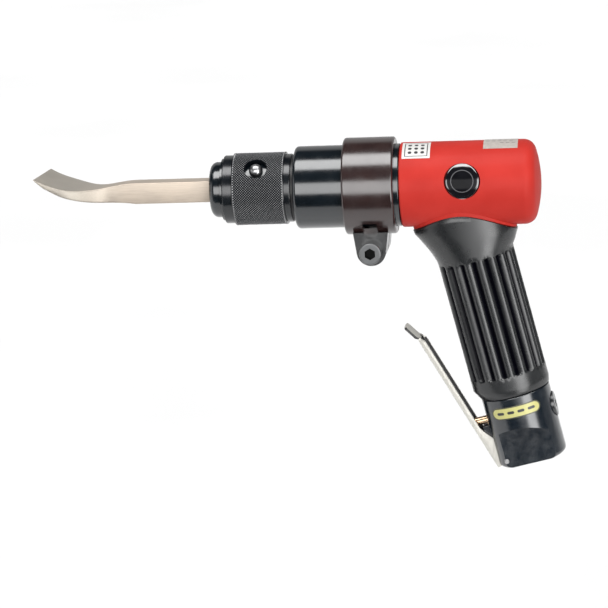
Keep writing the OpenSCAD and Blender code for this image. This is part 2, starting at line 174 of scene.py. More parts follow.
HOUSING_R = 24.9
GRIP_SIDE = 21.4
GRIP_DEPTH = 22.9
THROTTLE_DROP = 143
CAP_REACH = 22.9
CAP_SOCKET_R = 3.0
COLLAR_MIDDLE = 49.85
COLLAR_R = 28.5
LUG_DROP = 36.2
SCREW_REACH = 25
SCREW_SOCKET_R = 3.5
BAND_R = 20.1
KNURL_R = 21.4
KNURL_DEPTH = 0.5
KNURL_ENDS = (99.4, 130.4)
KNURL_MIDDLE = sum(KNURL_ENDS) / 2
BADGE_U = -5.4
BADGE_R = 10.3
BADGE_ANGLE = math.radians(13)
BADGE_UP = HOUSING_R * BADGE_ANGLE
BADGE_FLOOR = 22.4
FRONT_LABEL_AT = (21.5, 28.9)
OIL_LABEL_AT = (-0.8, 137.6)
OIL_LABEL_HALF = (14.5, 3.6)

# ---------------------------------------------------------------- shader helpers

EVEN = (1, 1, 1)
ROUND_TOOL = (1, 0.05, 0.05)
ALONG_TOOL = (0.05, 1, 1)
DOWN_PLATE = (1, 1, 0.08)
INK_EDGE = 0.1


class NodeTree:
    """Shorthand for making and joining shader nodes; tree is the node tree they go in."""

    tree = None

    def node(self, kind, inputs=None, **settings):
        made = self.tree.nodes.new(kind)
        for key, value in settings.items():
            setattr(made, key, value)
        for key, value in (inputs or {}).items():
            self.connect(value, made.inputs[key])
        return made

    def connect(self, value, socket):
        if isinstance(value, bpy.types.NodeSocket):
            self.tree.links.new(value, socket)
        else:
            socket.default_value = value

    def math(self, operation, a, b=0.0):
        return self.node("ShaderNodeMath", {0: a, 1: b}, operation=operation).outputs[0]

    def vector(self, operation, a, b, output=0):
        return self.node("ShaderNodeVectorMath", {0: a, 1: tuple(b)}, operation=operation).outputs[output]

    def along(self, a, direction):
        """How far a vector reaches along a direction of length 1."""
        return self.vector("DOT_PRODUCT", a, direction, "Value")

    def hypotenuse(self, a, b):
        squares = [self.math("MULTIPLY", value, value) for value in (a, b)]
        return self.math("SQRT", self.math("ADD", *squares))


class Surface(NodeTree):
    """A node material built around one Principled shader."""

    def __init__(self, name, **shader_values):
        self.material = bpy.data.materials.new(name)
        self.material.use_nodes = True
        self.tree = self.material.node_tree
        self.shader = self.tree.nodes["Principled BSDF"]
        for key, value in shader_values.items():
            self.shader.inputs[key.replace("_", " ")].default_value = value
        self.place = self.tree.nodes.new("ShaderNodeTexCoord").outputs["Object"]

    def noise(self, scale, detail, roughness=0.5, stretch=EVEN):
        """Noise, drawn out along the axes where stretch is small."""
        place = self.vector("MULTIPLY", self.place, stretch)
        inputs = {"Vector": place, "Scale": scale, "Detail": detail, "Roughness": roughness}
        return self.node("ShaderNodeTexNoise", inputs).outputs["Fac"]

    def span(self, value, low, high, to_low=0.0, to_high=1.0):
        """Maps low..high to to_low..to_high, held at the ends."""
        inputs = {0: value, 1: low, 2: high, 3: to_low, 4: to_high}
        return self.node("ShaderNodeMapRange", inputs).outputs[0]

    def cloud(self, scale, detail, to_low=0.0, to_high=1.0, low=0.3, high=0.7):
        """Noise with the middle of its range spread over to_low..to_high."""
        return self.span(self.noise(scale, detail), low, high, to_low, to_high)

    def blend(self, share, first, second):
        made = self.node("ShaderNodeMix", data_type="RGBA")
        factor, colour_a, colour_b = (made.inputs[i] for i in (0, 6, 7))
        self.connect(share, factor)
        self.connect(first, colour_a)
        self.connect(second, colour_b)
        return made.outputs[2]

    def bump(self, height, depth, below=None):
        inputs = {"Height": height, "Strength": 1.0, "Distance": depth}
        if below is not None:
            inputs["Normal"] = below
        return self.node("ShaderNodeBump", inputs).outputs[0]

    def paint(self, **links):
        for key, value in links.items():
            self.connect(value, self.shader.inputs[key.replace("_", " ")])
        return self.material


def rgb(red, green, blue):
    return (red, green, blue, 1.0)


def grey(value):
    return rgb(value, value, value)


def from_axis(s):
    """Millimetres forward, towards the viewer's side and up from the handle's top, on the barrel's axis."""
    axes = s.node("ShaderNodeSeparateXYZ", {0: s.vector("SUBTRACT", s.place, HUB)}).outputs
    return [s.math("MULTIPLY", axes[key], sign / MM) for key, sign in (("X", -1), ("Y", -1), ("Z", 1))]


def around_barrel(s):
    """Millimetres forward along the barrel, and up around the housing from the viewer's side."""
    ahead, towards, height = from_axis(s)
    return ahead, s.math("MULTIPLY", s.math("ARCTAN2", height, towards), HOUSING_R)


def radius_round_barrel(s):
    _, towards, height = from_axis(s)
    return s.hypotenuse(towards, height)


def on_handle(s):
    """Millimetres forward of the handle's axis, and down the handle from the barrel's axis."""
    away = s.vector("SUBTRACT", s.place, HUB)
    return [s.math("MULTIPLY", s.along(away, direction), 1 / MM) for direction in (FORE, DOWN)]


def rounded_box(s, place, centre, half, corner):
    """Signed distance in millimetres from a rounded rectangle: below zero inside."""
    reach = []
    for value, middle, size in zip(place, centre, half):
        away = s.math("ABSOLUTE", s.math("SUBTRACT", value, middle))
        reach.append(s.math("SUBTRACT", away, size - corner))
    outside = s.hypotenuse(*[s.math("MAXIMUM", value, 0.0) for value in reach])
    inside = s.math("MINIMUM", s.math("MAXIMUM", *reach), 0.0)
    return s.math("SUBTRACT", s.math("ADD", outside, inside), corner)


def ink(s, distance):
    """1 inside a shape, 0 outside."""
    return s.span(distance, INK_EDGE, -INK_EDGE)


def frame_line(s, distance, width):
    """1 on a line that runs just inside the edge of a shape."""
    centred = s.math("ADD", distance, width / 2)
    return ink(s, s.math("SUBTRACT", s.math("ABSOLUTE", centred), width / 2))


def strongest(s, marks):
    """The largest of several shares of ink."""
    total = marks[0]
    for mark in marks[1:]:
        total = s.math("MAXIMUM", total, mark)
    return total


# ---------------------------------------------------------------- paint, steel and rubber


def red_paint():
    s = Surface("red_paint", Roughness=0.6, IOR=1.25, Coat_Weight=0.03, Coat_Roughness=0.15)
    colour = s.blend(s.cloud(38, 4, low=0.35, high=0.65), rgb(0.37, 0.018, 0.012), rgb(0.42, 0.024, 0.017))
    peel = s.bump(s.noise(420, 2), 20 * MICRON)
    dust = s.bump(s.cloud(1500, 1, low=0.72, high=0.8), 20 * MICRON, peel)
    return s.paint(Base_Color=colour, Normal=dust)


def turning_marks(s):
    """Faint lines that a lathe leaves round the barrel."""
    return s.bump(s.noise(2600, 3, 0.7, (1, 0.02, 0.02)), 2 * MICRON)


def black_oxide():
    """Black oxide on turned steel: nearly black and glossy."""
    s = Surface("black_oxide", IOR=1.8)
    colour = s.blend(s.cloud(90, 5), rgb(0.002, 0.004, 0.006), rgb(0.004, 0.007, 0.010))
    rough = s.cloud(140, 4, 0.128, 0.2, high=0.75)
    return s.paint(Base_Color=colour, Roughness=rough, Normal=turning_marks(s))


def collar_oxide():
    """Brown-black oxide on the band of the collar, turning plain black on the lug below it."""
    s = Surface("collar_oxide", IOR=1.8)
    mottle = s.cloud(90, 5)
    band = s.blend(mottle, rgb(0.016, 0.008, 0.008), rgb(0.026, 0.014, 0.013))
    lug = s.blend(mottle, rgb(0.003, 0.004, 0.005), rgb(0.007, 0.008, 0.009))
    on_lug = s.span(radius_round_barrel(s), COLLAR_R + 0.3, COLLAR_R + 1.5)
    rough = s.cloud(140, 4, 0.16, 0.25, high=0.75)
    return s.paint(Base_Color=s.blend(on_lug, band, lug), Roughness=rough, Normal=turning_marks(s))


def knurled_oxide():
    """Black oxide, grey on the tips of the knurling as wear and painted highlight, and dull and black in its
    valleys and in the bore as painted shade.
    """
    s = Surface("sleeve_oxide", IOR=1.6)
    radius = radius_round_barrel(s)
    from_middle = s.math("ABSOLUTE", s.math("SUBTRACT", from_axis(s)[0], KNURL_MIDDLE))
    knurl_half = KNURL_ENDS[1] - KNURL_MIDDLE - 0.7
    in_knurl = ink(s, s.math("SUBTRACT", from_middle, knurl_half))
    # painted highlight, partly wear: grey metal on the tips of the knurling
    worn = s.math("MULTIPLY", in_knurl, s.span(radius, KNURL_R - 0.26, KNURL_R - 0.10))
    # painted shade: the valleys and the bore lose most of their reflection and turn rougher
    valleys = s.math("MULTIPLY", in_knurl, s.span(radius, KNURL_R - 0.20, KNURL_R - 0.36))
    deep = s.math("MAXIMUM", valleys, s.span(radius, BAND_R - 0.7, BAND_R - 0.9))
    oxide = s.blend(s.cloud(90, 5), rgb(0.003, 0.004, 0.006), rgb(0.006, 0.008, 0.010))
    colour = s.blend(worn, oxide, rgb(0.30, 0.30, 0.305))
    rough = s.math("ADD", s.cloud(140, 4, 0.16, 0.26, high=0.75), s.math("MULTIPLY", deep, 0.5))
    shine_dimmed_in_shade = s.span(deep, 0, 1, 0.5, 0.02)
    marks = s.bump(s.noise(1900, 3), MICRON)
    return s.paint(Base_Color=colour, Roughness=rough, Specular_IOR_Level=shine_dimmed_in_shade, Normal=marks)


def screw_oxide(name, middle, axis, socket_r, face_reach):
    """Black oxide with a lighter face and a socket of painted shade, dark and dull, measured from a screw's
    axis.
    """
    s = Surface(name, IOR=1.8, Roughness=0.24)
    away = s.vector("SUBTRACT", s.place, middle)
    out = s.along(away, axis)
    across = s.vector("CROSS_PRODUCT", away, axis)
    radius = s.node("ShaderNodeVectorMath", {0: across}, operation="LENGTH").outputs["Value"]
    in_socket = s.math("LESS_THAN", radius, socket_r * MM)
    # painted shade: the socket is coloured near black and hardly reflects
    socket_shade = s.math("MULTIPLY", in_socket, s.math("LESS_THAN", out, (face_reach - 0.1) * MM))
    on_face = s.math("GREATER_THAN", out, (face_reach - 0.35) * MM)
    oxide = s.blend(s.cloud(160, 5), rgb(0.004, 0.005, 0.006), rgb(0.010, 0.012, 0.014))
    # the top face of the head is coloured lighter
    worn = s.blend(on_face, oxide, rgb(0.070, 0.073, 0.076))
    colour = s.blend(socket_shade, worn, rgb(0.001, 0.001, 0.001))
    shine_dimmed_in_shade = s.span(socket_shade, 0, 1, 0.5, 0.05)
    return s.paint(Base_Color=colour, Specular_IOR_Level=shine_dimmed_in_shade, Normal=s.bump(s.noise(900, 3), 4 * MICRON))


def seal_rubber():
    s = Surface("seal_rubber", IOR=1.5)
    colour = s.blend(s.cloud(70, 5), rgb(0.006, 0.006, 0.007), rgb(0.012, 0.012, 0.013))
    fine = s.bump(s.noise(1600, 3), 12 * MICRON)
    wide = s.bump(s.noise(160, 3), 24 * MICRON, fine)
    return s.paint(Base_Color=colour, Roughness=s.cloud(120, 4, 0.38, 0.54), Normal=wide)


def grip_rubber():
    """Satin rubber, with painted shade down in the flutes: darker and duller there."""
    s = Surface("grip_rubber", IOR=1.55)
    away = s.vector("SUBTRACT", s.place, HUB)
    fore = s.math("DIVIDE", s.along(away, FORE), GRIP_DEPTH * MM)
    side = s.math("DIVIDE", s.along(away, SIDE), GRIP_SIDE * MM)
    # painted shade: the flutes are coloured darker and reflect less than the ridges
    out_of_flute_shade = s.span(s.hypotenuse(fore, side), 0.92, 0.975)
    skin = s.blend(s.cloud(70, 5), rgb(0.008, 0.009, 0.010), rgb(0.013, 0.014, 0.015))
    colour = s.blend(out_of_flute_shade, rgb(0.002, 0.002, 0.004), skin)
    shine_dimmed_in_shade = s.span(out_of_flute_shade, 0, 1, 0.05, 0.6)
    fine = s.bump(s.noise(1600, 3), 3 * MICRON)
    wide = s.bump(s.noise(160, 3), 6 * MICRON, fine)
    rough = s.cloud(120, 4, 0.24, 0.34)
    return s.paint(Base_Color=colour, Specular_IOR_Level=shine_dimmed_in_shade, Roughness=rough, Normal=wide)


def enamel():
    s = Surface("black_enamel", IOR=1.75, Coat_Weight=0.3, Coat_Roughness=0.08)
    colour = s.blend(s.cloud(60, 4), rgb(0.002, 0.005, 0.009), rgb(0.005, 0.009, 0.014))
    sag = s.bump(s.noise(60, 2), 20 * MICRON)
    return s.paint(Base_Color=colour, Roughness=s.cloud(220, 4, 0.16, 0.26), Normal=sag)


def grain_share(s, drawn):
    """Share of the lighter tone where drawn grain lies over soft clouds."""
    mixed = s.math("ADD", s.math("MULTIPLY", drawn, 0.6), s.math("MULTIPLY", s.noise(55, 4), 0.4))
    return s.span(mixed, 0.35, 0.65)


def metal(name, dark, light, rough, stretch, grain, sheen=1.0):
    """Bare or plated metal with grain drawn out along the axes where stretch is small."""
    s = Surface(name, Metallic=sheen)
    drawn = s.noise(grain, 4, 0.6, stretch)
    colour = s.blend(grain_share(s, drawn), dark, light)
    worn = s.span(drawn, 0.3, 0.7, rough * 0.8, rough * 1.25)
    return s.paint(Base_Color=colour, Roughness=worn, Normal=s.bump(drawn, 4 * MICRON))


def forged_steel():
    """Pale satin steel with long grain, a little duller on the forged blade than on the shank."""
    s = Surface("forged_steel", Metallic=0.5)
    drawn = s.noise(1600, 4, 0.6, (0.06, 1, 1))
    share = grain_share(s, drawn)
    shank = s.blend(share, rgb(0.38, 0.325, 0.27), rgb(0.49, 0.415, 0.34))
    blade = s.blend(share, rgb(0.29, 0.265, 0.23), rgb(0.37, 0.335, 0.285))
    colour = s.blend(s.span(from_axis(s)[0], 195, 225), shank, blade)
    rough = s.span(drawn, 0.3, 0.7, 0.34, 0.52)
    return s.paint(Base_Color=colour, Roughness=rough, Normal=s.bump(drawn, 4 * MICRON))


# ---------------------------------------------------------------- labels and badge


def printed_film(name, paper, worn, draw):
    """A printed film: draw returns the share of ink over the paper."""
    s = Surface(name, Roughness=0.45, Coat_Weight=0.3, Coat_Roughness=0.2)
    sheet = s.blend(s.cloud(500, 4), worn, paper)
    colour = s.blend(draw(s), sheet, rgb(0.02, 0.02, 0.022))
    return s.paint(Base_Color=colour, Normal=s.bump(s.noise(700, 2), 4 * MICRON))


def dot_grid(s):
    """A thin frame round a grid of plain dots, three by three."""
    place = around_barrel(s)
    pitch = 3.7
    middle_u, middle_up = FRONT_LABEL_AT
    marks = [frame_line(s, rounded_box(s, place, FRONT_LABEL_AT, (6.8, 6.9), 0.2), 0.55)]
    for column in (-pitch, 0, pitch):
        for row in (-pitch, 0, pitch):
            centre = (middle_u + column, middle_up + row)
            marks.append(ink(s, rounded_box(s, place, centre, (1.1, 1.1), 1.0)))
    return strongest(s, marks)


def faint_rows(s):
    """Faint rows of plain dashes."""
    place = around_barrel(s)
    pitch = 3.4
    marks = []
    for up, start_u, dashes in ((33.2, -35, 3), (36.5, -33.4, 5), (39.8, -33.8, 4)):
        for k in range(dashes):
            dash = ink(s, rounded_box(s, place, (start_u + pitch * k, up), (1.1, 0.5), 0.3))
            marks.append(s.math("MULTIPLY", dash, 0.55))
    return strongest(s, marks)


def bar_row(s):
    """A black border with a row of plain bars."""
    place = on_handle(s)
    middle_fore, middle_drop = OIL_LABEL_AT
    marks = [frame_line(s, rounded_box(s, place, OIL_LABEL_AT, OIL_LABEL_HALF, OIL_LABEL_HALF[1]), 0.6)]
    for ahead in (-9.3, -3.1, 3.1, 9.3):
        marks.append(ink(s, rounded_box(s, place, (middle_fore + ahead, middle_drop), (2.1, 0.85), 0.8)))
    return strongest(s, marks)


def gloss_badge():
    """Domed black badge with no mark but a thin grey ring, and a glossier rim."""
    s = Surface(
        "gloss_badge", Roughness=0.08, IOR=1.22, Specular_IOR_Level=0.3, Coat_Roughness=0.05, Coat_IOR=2.1
    )
    dome = s.blend(s.cloud(120, 3), rgb(0.004, 0.004, 0.005), rgb(0.007, 0.007, 0.009))
    middle = (BADGE_U, BADGE_UP)
    from_rim = rounded_box(s, around_barrel(s), middle, (BADGE_R, BADGE_R), BADGE_R - 0.01)
    ring = frame_line(s, s.math("ADD", from_rim, 3.6), 0.45)
    colour = s.blend(ring, dome, rgb(0.10, 0.10, 0.105))
    rim = s.span(from_rim, -1.7, -1.2)
    return s.paint(Base_Color=colour, Coat_Weight=rim, Normal=s.bump(s.noise(90, 2), 6 * MICRON))


# ---------------------------------------------------------------- materials of the nodes

MATERIALS = {
    "red_paint": red_paint(),
    "black_oxide": black_oxide(),
    "brown_black_oxide": collar_oxide(),
    "sleeve_oxide": knurled_oxide(),
    "grip_rubber": grip_rubber(),
    "seal_rubber": seal_rubber(),
    "black_enamel": enamel(),
    "gloss_badge": gloss_badge(),
    "label_white": printed_film("label_white", rgb(0.58, 0.575, 0.56), rgb(0.53, 0.53, 0.51), dot_grid),
    "label_silver": printed_film("label_silver", rgb(0.40, 0.36, 0.33), rgb(0.32, 0.29, 0.265), faint_rows),
    "label_yellow": printed_film("label_yellow", rgb(0.46, 0.44, 0.165), rgb(0.42, 0.40, 0.14), bar_row),
    "tool_steel": metal("tool_steel", rgb(0.42, 0.42, 0.43), grey(0.62), 0.3, ROUND_TOOL, 2400),
    "polished_steel": metal("polished_steel", rgb(0.34, 0.34, 0.35), grey(0.46), 0.3, EVEN, 1200),
    "satin_steel": forged_steel(),
    "bright_plate": metal(
        "bright_plate", rgb(0.58, 0.565, 0.52), rgb(0.68, 0.665, 0.61), 0.36, DOWN_PLATE, 1500, sheen=0.6
    ),
    # painted shade: a dark plate for the hollow of the lever and the side edges of its lip
    "plate_painted_shade": metal("plate_painted_shade", grey(0.05), grey(0.10), 0.5, DOWN_PLATE, 1500),
    "brass": metal("brass", rgb(0.50, 0.34, 0.20), rgb(0.66, 0.48, 0.32), 0.25, ALONG_TOOL, 1800),
}

screw_at = HUB - Vector((COLLAR_MIDDLE, 0, LUG_DROP)) * MM
cap_at = handle_point(0, 0, THROTTLE_DROP)
OWN_MATERIALS = {
    "collar_screw": screw_oxide("screw_oxide", screw_at, -SIDE, SCREW_SOCKET_R, SCREW_REACH),
    "throttle_cap": screw_oxide("cap_oxide", cap_at, -FORE, CAP_SOCKET_R, CAP_REACH),
}

for part in frame["record"]["subparts"]:
    node_materials = nodes[part["node"]].data.materials
    node_materials.clear()
    node_materials.append(OWN_MATERIALS.get(part["node"], MATERIALS[part["material_slot"]]))

# ---------------------------------------------------------------- badge

BADGE_ROLL = 1.1
BADGE_ROLL_SHARE = 0.85
BADGE_SINK = 0.35


def badge_point(reach, turn, height=None):
    """A point of the badge, reach from its middle; with no height, on the domed face and its rolled rim."""
    ahead, across = reach * math.cos(turn), reach * math.sin(turn)
    if height is None:
        height = math.sqrt((HOUSING_R - 0.05) ** 2 - across ** 2) - BADGE_SINK * (reach / BADGE_R) ** 2
        roll = min(BADGE_ROLL, BADGE_ROLL_SHARE * (height - BADGE_FLOOR))
        into_roll = clamp01((reach - (BADGE_R - roll)) / roll)
        height -= roll * (1 - math.sqrt(1 - into_roll ** 2))
    outward = Vector((0, -math.cos(BADGE_ANGLE), math.sin(BADGE_ANGLE)))
    upward = Vector((0, math.sin(BADGE_ANGLE), math.cos(BADGE_ANGLE)))
    return HUB + (Vector((-(BADGE_U + ahead), 0, 0)) + outward * height + upward * across) * MM


def build_badge():
    columns = 96
    reaches = [0.5, 2, 3.5, 5, 6.5, 8, 8.8, 9.2, 9.5, 9.75, 9.95, 10.1, 10.2, 10.27, BADGE_R]
    turns = [math.tau * j / columns for j in range(columns)]
    rings = [[badge_point(reach, turn) for turn in turns] for reach in reaches]
    rings.append([badge_point(BADGE_R, turn, BADGE_FLOOR) for turn in turns])
    verts = [v for ring in rings for v in ring]
    faces = loop_faces(len(rings), columns) + end_caps(len(verts), columns)
    badge = add_piece("domed_badge", verts, faces, "tool_body", ["badge"], "gloss_badge")
    smooth_by_angle(badge, 50)


build_badge()

# ---------------------------------------------------------------- rubber grip

GRIP_END = 129
GRIP_BORE = 15.1
SADDLE_R = 26.65
WAIST_DROP = 43
GRIP_FRONT = 22.6
GRIP_REAR = 23.2
BEAK = 9
BEAK_LEN = 20.6
BEAK_LIMIT = 31.5
HEEL = 6.2
HEEL_LEN = 10.4
TOE_CUT = 3.2
TOE_LEN = 5.4
LAP_LEN = 4
FLUTES = 18
STEPS_PER_FLUTE = 12
FLUTE_DEPTH = 2.9
FLUTE_ROUNDNESS = 2.0
FLUTE_TOP = (44, 45.4)
FLUTE_FOOT = (116, 117.2)


def grip_depths(drop):
    """Half depths of the grip at the front, the rear and the sides."""
    beak = BEAK * clamp01((WAIST_DROP - drop) / BEAK_LEN) ** 1.3
    heel = HEEL * clamp01((WAIST_DROP - drop) / HEEL_LEN) ** 0.8
    toe = TOE_CUT * clamp01((drop - GRIP_END + TOE_LEN) / TOE_LEN)
    lap = clamp01((drop - GRIP_END + LAP_LEN) / LAP_LEN)
    return min(BEAK_LIMIT, GRIP_FRONT + beak) - toe, GRIP_REAR + heel - 0.8 * lap, GRIP_SIDE - 0.6 * lap


def flute_cut(angle, drop):
    """How deep the flutes cut in: sharp grooves between rounded ridges, stopped short at both ends."""
    share = angle * FLUTES / math.tau % 1
    from_ridge = 1 - abs(2 * share - 1)
    fade = smoothstep(*FLUTE_TOP, drop) * (1 - smoothstep(*FLUTE_FOOT, drop))
    return FLUTE_DEPTH * fade * from_ridge ** FLUTE_ROUNDNESS


def grip_outline(angle, drop, inset):
    front, rear, side = grip_depths(drop)
    depth = front if math.cos(angle) > 0 else rear
    cut = flute_cut(angle, drop) + inset
    return (depth - cut) * math.cos(angle), -(side - cut) * math.sin(angle)


def saddle_drop(fore, side):
    """Drop at which a point of the grip meets the underside of the housing."""
    return (math.sqrt(SADDLE_R ** 2 - side ** 2) - math.sin(RAKE) * fore) / math.cos(RAKE)


def grip_stations(top):
    """Rings of the rubber's outside as (drop, inset), from the edge under the housing down to the foot."""
    lip = [(0.0, 0.9), (0.25, 0.35), (0.7, 0.0)]
    top_steps = 10
    fade_step = 0.3
    start, shoulder = top + lip[-1][0], FLUTE_TOP[0]
    flare = [lerp(start, shoulder, k / top_steps) for k in range(1, top_steps + 1)]
    fade_in = [shoulder + fade_step * k for k in (1, 2, 3)] + [FLUTE_TOP[1]]
    fluted = [47, 60, 75, 90, 105, 115]
    fade_out = [FLUTE_FOOT[0] + fade_step * k for k in range(5)]
    plain = [119, 121, 123.6, 124.3, 125, 126, 127, 128.2]
    stations = [(top + rise, inset) for rise, inset in lip]
    stations += [(drop, 0) for drop in flare + fade_in + fluted + fade_out + plain]
    return stations + [(128.7, 0.25), (GRIP_END, 0.8)]


def grip_top(angle):
    """Drop of the rubber's upper edge on the saddle, which settles in a few rounds."""
    top = 24
    for _ in range(12):
        top = saddle_drop(*grip_outline(angle, top, 0))
    return top


def build_grip():
    columns = FLUTES * STEPS_PER_FLUTE
    lines = []
    for j in range(columns):
        angle = math.tau * j / columns
        stations = grip_stations(grip_top(angle))
        bore = (GRIP_BORE * math.cos(angle), -GRIP_BORE * math.sin(angle))
        line = [handle_point(*grip_outline(angle, drop, inset), drop) for drop, inset in stations]
        line += [handle_point(*bore, GRIP_END), handle_point(*bore, saddle_drop(*bore))]
        lines.append(line)
    rings = list(zip(*lines))
    verts = [v for ring in rings for v in ring]
    faces = loop_faces(len(rings), columns, close_rows=True)
    grip = add_piece("grip_cover", verts, faces, "tool_body", ["grip_sleeve"], "grip_rubber")
    smooth_by_angle(grip, 40)


build_grip()

# ---------------------------------------------------------------- retaining sleeve

SLEEVE_INNER = 17.9
SLEEVE_ENDS = (95.8, 136.2)
DIAMONDS = 88
KNURL_ROWS = 40
PORT_U = 116
PORT_R = 6.75
PORT_ANGLE = math.radians(45)
TRACK_R = 4.6
TRACK_START = -3
TRACK_STEP = 1.5
TRACK_STEPS = 33
TRACK_BOTTOM = 12
PIN_HEAD_R = 4.1
PIN_TOP = 22.4
PIN_TRAVEL = 3
LOCK_TURN = 30


def sleeve_profile():
    """Rings of the sleeve as (distance, radius, knurled)."""
    rear, front = SLEEVE_ENDS
    low, high = KNURL_ENDS
    rounding = [(0, 0.6), (0.18, 0.18), (0.6, 0)]
    step = [(0, 0.5), (0.15, 0.15), (0.5, 0)]
    rear_end = [(rear, SLEEVE_INNER)] + [(rear + u, BAND_R - r) for u, r in rounding]
    rear_end.append((low - 0.02, BAND_R))
    rear_step = [(low + u, KNURL_R - r) for u, r in step]
    front_step = [(high - u, KNURL_R - r) for u, r in reversed(step)]
    front_end = [(high + 0.02, BAND_R)] + [(front - u, BAND_R - r) for u, r in reversed(rounding)]
    front_end.append((front, SLEEVE_INNER))
    knurl_start = rear_step[-1][0]
    knurl_len = front_step[0][0] - knurl_start
    knurl = [(knurl_start + knurl_len * k / KNURL_ROWS, KNURL_R, True) for k in range(1, KNURL_ROWS)]
    plain_rear = [(u, r, False) for u, r in rear_end + rear_step]
    plain_front = [(u, r, False) for u, r in front_step + front_end]
    return plain_rear + knurl + plain_front


def port_point(ahead, across, height, turn=0.0):
    """A point in the frame of the sleeve's port; turn swings round the barrel towards the viewer."""
    angle = PORT_ANGLE - turn
    outward = Vector((0, -math.cos(angle), math.sin(angle)))
    sideways = Vector((0, math.sin(angle), math.cos(angle)))
    return HUB + (Vector((-(PORT_U + ahead), 0, 0)) + outward * height + sideways * across) * MM


def port_cutter():
    """A round bar through the wall of the sleeve."""
    columns = 72
    verts = []
    for height in (10, 25):
        for k in range(columns):
            a = math.tau * k / columns
            verts.append(port_point(PORT_R * math.cos(a), PORT_R * math.sin(a), height))
    return verts, loop_faces(2, columns) + end_caps(len(verts), columns)


def track_cutter():
    """The ramped groove inside the sleeve that presses the pin's head inward."""
    across_steps = 10
    verts = []
    for step in range(TRACK_STEPS):
        turn = TRACK_START + TRACK_STEP * step
        beyond = max(0.0, turn - LOCK_TURN) * math.radians(1) * SLEEVE_INNER
        half = math.sqrt(max(0.2, TRACK_R ** 2 - beyond ** 2))
        crown = PIN_TOP - PIN_TRAVEL * clamp01(turn / LOCK_TURN) - PIN_HEAD_R
        angle = math.radians(turn)
        verts.append(port_point(half, 0, TRACK_BOTTOM, angle))
        verts.append(port_point(-half, 0, TRACK_BOTTOM, angle))
        for k in range(across_steps + 1):
            a = math.pi * (1 - k / across_steps)
            verts.append(port_point(half * math.cos(a), 0, crown + half * math.sin(a), angle))
    columns = across_steps + 3
    return verts, loop_faces(TRACK_STEPS, columns) + end_caps(len(verts), columns)


def build_sleeve():
    columns = 2 * DIAMONDS
    verts = []
    profile = sleeve_profile()
    for i, (u, radius, knurled) in enumerate(profile):
        for j in range(columns):
            valley = knurled and (i + j) % 2 == 0
            verts.append(barrel_point(u, radius - KNURL_DEPTH * valley, math.tau * j / columns))
    faces = []
    for i, quad in enumerate(loop_faces(len(profile), columns, close_rows=True)):
        a, b, c, d = quad
        row, column = divmod(i, columns)
        if not profile[row][2]:
            faces.append(quad)
        elif (row + column) % 2 == 0:
            faces += [(a, b, c), (a, c, d)]
        else:
            faces += [(b, c, d), (b, d, a)]
    sleeve = add_piece(
        "knurled_sleeve", verts, faces, "turning_sleeve", ["sleeve"], "sleeve_oxide",
        cutters=[port_cutter(), track_cutter()],
    )
    smooth_by_angle(sleeve, 12)


build_sleeve()

# ---------------------------------------------------------------- throttle lever

LEVER_HALF = 6.3
SHEET = 1.5
LEVER_FACE = 8.3
LEVER_BEND = 2.2
LEVER_OPEN = math.radians(16.5)
PIVOT_FORE = 13
PIVOT_DROP = 167.5
PIVOT_HOLE_R = 1.54
BOSS_R = 2.9
FOOT_CUT = 2.39
LIP_FLAT = (85.5, 90.5)
LIP_START = 88
LIP_END = 99.3
LIP_BEND = math.radians(16)
LIP_CORNER = 2.2


def lever_rear(height):
    """Rear edge of the lever's flanges, forward of its pivot."""
    if height < 0:
        return -math.sqrt(max(0.0, BOSS_R ** 2 - height ** 2))
    knots = [(0, -BOSS_R), (9, -BOSS_R), (15, 1.2), (20, 3.5), (24, 4.7), (LIP_END, 4.7)]
    for (low, start), (high, end) in zip(knots, knots[1:]):
        if height <= high:
            return lerp(start, end, (height - low) / (high - low))
    return knots[-1][1]


def lever_skin(height, inset):
    """Half outline of the folded sheet at a height, from a flange's rear edge to the middle of the face."""
    half, face, bend = LEVER_HALF - inset, LEVER_FACE - inset, LEVER_BEND - inset
    flange_steps, bend_steps, face_steps = 3, 6, 3
    outline = [(lerp(lever_rear(height), face - bend, k / flange_steps), half) for k in range(flange_steps)]
    for k in range(bend_steps + 1):
        a = math.pi / 2 * k / bend_steps
        outline.append((face - bend + bend * math.sin(a), half - bend + bend * math.cos(a)))
    outline += [(face, (half - bend) * (1 - k / face_steps)) for k in range(1, face_steps + 1)]
    return outline


def lever_ring(height):
    """The folded section at a height, which opens out flat at the lip and has a round end."""
    flat = smoothstep(*LIP_FLAT, height)
    tip = clamp01((height - (LIP_END - LIP_CORNER)) / LIP_CORNER)
    tip_half = LEVER_HALF - LIP_CORNER * (1 - math.sqrt(1 - tip ** 2))
    ring = []
    for inset in (0, SHEET):
        side = lever_skin(height, inset)
        last = len(side) - 1
        unfolded = [(LEVER_FACE - inset, tip_half * (1 - k / last)) for k in range(last + 1)]
        side = [(lerp(x, fx, flat), lerp(y, fy, flat)) for (x, y), (fx, fy) in zip(side, unfolded)]
        whole = side + [(x, -y) for x, y in reversed(side[:-1])]
        ring += whole if inset == 0 else reversed(whole)
    return ring


